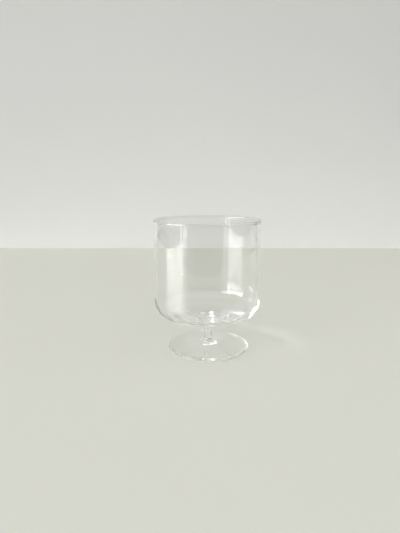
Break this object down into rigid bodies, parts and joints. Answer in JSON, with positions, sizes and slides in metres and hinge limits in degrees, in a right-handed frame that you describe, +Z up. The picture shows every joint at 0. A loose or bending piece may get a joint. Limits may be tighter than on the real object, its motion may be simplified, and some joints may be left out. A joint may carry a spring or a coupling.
{
  "type": "water goblet",
  "caption": "Clear drinking glass with a thin, almost straight-sided cylindrical bowl, a tight round bottom corner, a short flared stem and a flat round foot.",
  "frame": {"origin": "centre of the foot's underside, on the surface that the glass stands on", "axes": "+Z up the axis of the stem, from the foot to the lip; the glass is round, so X and Y are free"},
  "size_m": [0.0824, 0.0824, 0.102],
  "materials": {
    "bowl_glass": "clear, fire polished, thin hand-blown wall",
    "stem_glass": "clear, solid drawn rod",
    "foot_glass": "clear, tooled flat, slightly wavy"
  },
  "bodies": {
    "root": {"bowl": "bowl_glass", "stem": "stem_glass", "foot": "foot_glass"}
  },
  "joints": []
}
